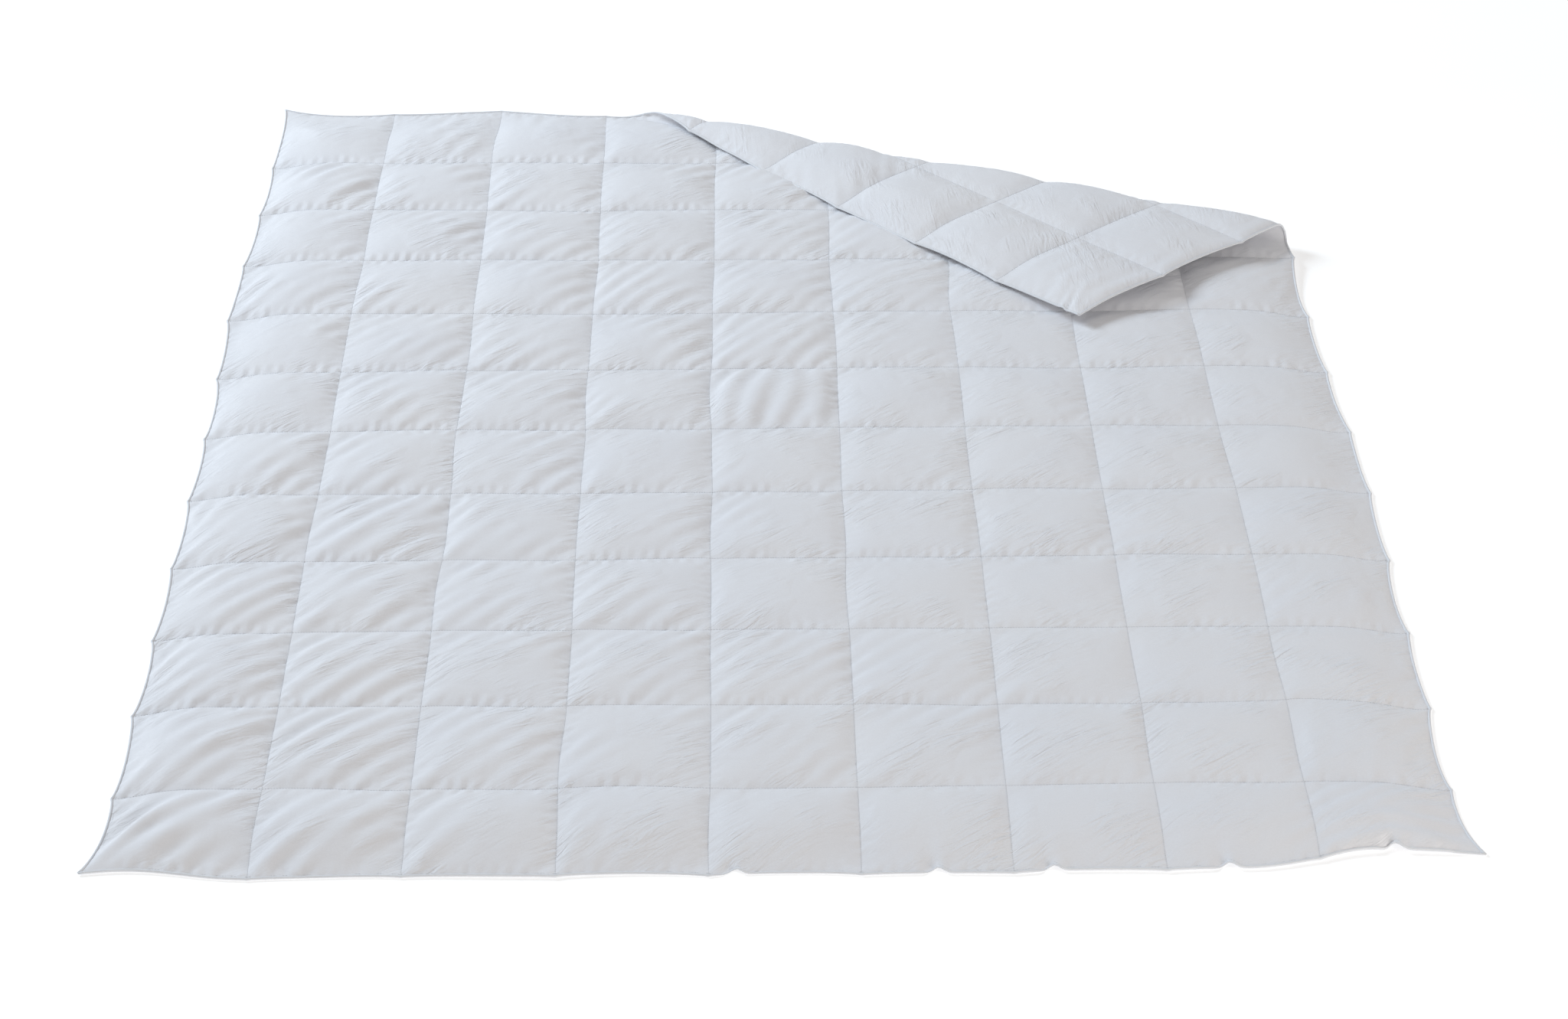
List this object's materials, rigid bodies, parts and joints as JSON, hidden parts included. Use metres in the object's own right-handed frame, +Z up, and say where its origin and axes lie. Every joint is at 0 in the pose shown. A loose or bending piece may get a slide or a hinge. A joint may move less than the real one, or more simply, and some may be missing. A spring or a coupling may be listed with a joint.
{
  "type": "duvet",
  "caption": "Box-quilted duvet lying flat, with one far corner folded back over the top along a slanting crease and free to open out.",
  "frame": {"origin": "under the middle of the flat quilt, at the level that it lies on", "axes": "+Z up, +Y along the length towards the far edge, +X to the right, with the folded corner at +X +Y"},
  "size_m": [1.56, 2.0136, 0.058],
  "materials": {
    "cover_cloth": "smooth, closely woven down-proof cotton with a slight sheen",
    "piping_cloth": "the same cotton over a soft cord",
    "thread": "fine white sewing thread, pulled into the seam",
    "filling": "loose matte down clusters"
  },
  "bodies": {
    "field": {"top_cover": "cover_cloth", "bottom_cover": "cover_cloth", "lengthwise_seams": "thread", "crosswise_seams": "thread", "edge_stitching": "thread", "piping_near": "piping_cloth", "piping_left": "piping_cloth", "piping_right": "piping_cloth", "piping_far": "piping_cloth", "fill_row_01": "filling", "fill_row_02": "filling", "fill_row_03": "filling", "fill_row_04": "filling", "fill_row_05": "filling", "fill_row_06": "filling", "fill_row_07": "filling", "fill_row_08": "filling", "fill_row_09": "filling", "fill_row_10": "filling", "fill_row_11": "filling", "fill_row_12": "filling"},
    "turn": {"turn_top_cover": "cover_cloth", "turn_bottom_cover": "cover_cloth", "turn_fill": "filling", "turn_piping_far": "piping_cloth", "turn_piping_right": "piping_cloth"},
    "corner": {"corner_top_cover": "cover_cloth", "corner_bottom_cover": "cover_cloth", "corner_lengthwise_seams": "thread", "corner_crosswise_seams": "thread", "corner_edge_stitching": "thread", "corner_piping_right": "piping_cloth", "corner_piping_far": "piping_cloth", "corner_fill_row_10": "filling", "corner_fill_row_11": "filling", "corner_fill_row_12": "filling"}
  },
  "joints": [
    {"name": "crease_lower", "type": "hinge", "parent": "field", "child": "turn", "pos_m": [0.26666, 0.77525, 0.01722], "axis": [-0.9089, 0.417, 0], "range_deg": [0, 90], "deforming": ["turn_top_cover", "turn_bottom_cover", "turn_fill", "turn_piping_far", "turn_piping_right"]},
    {"name": "crease_upper", "type": "hinge", "parent": "turn", "child": "corner", "pos_m": [0.26666, 0.77525, 0.04078], "axis": [-0.9089, 0.417, 0], "range_deg": [0, 90]}
  ],
  "couplings": [
    {"joint": "crease_upper", "follows": "crease_lower", "ratio": 1}
  ]
}
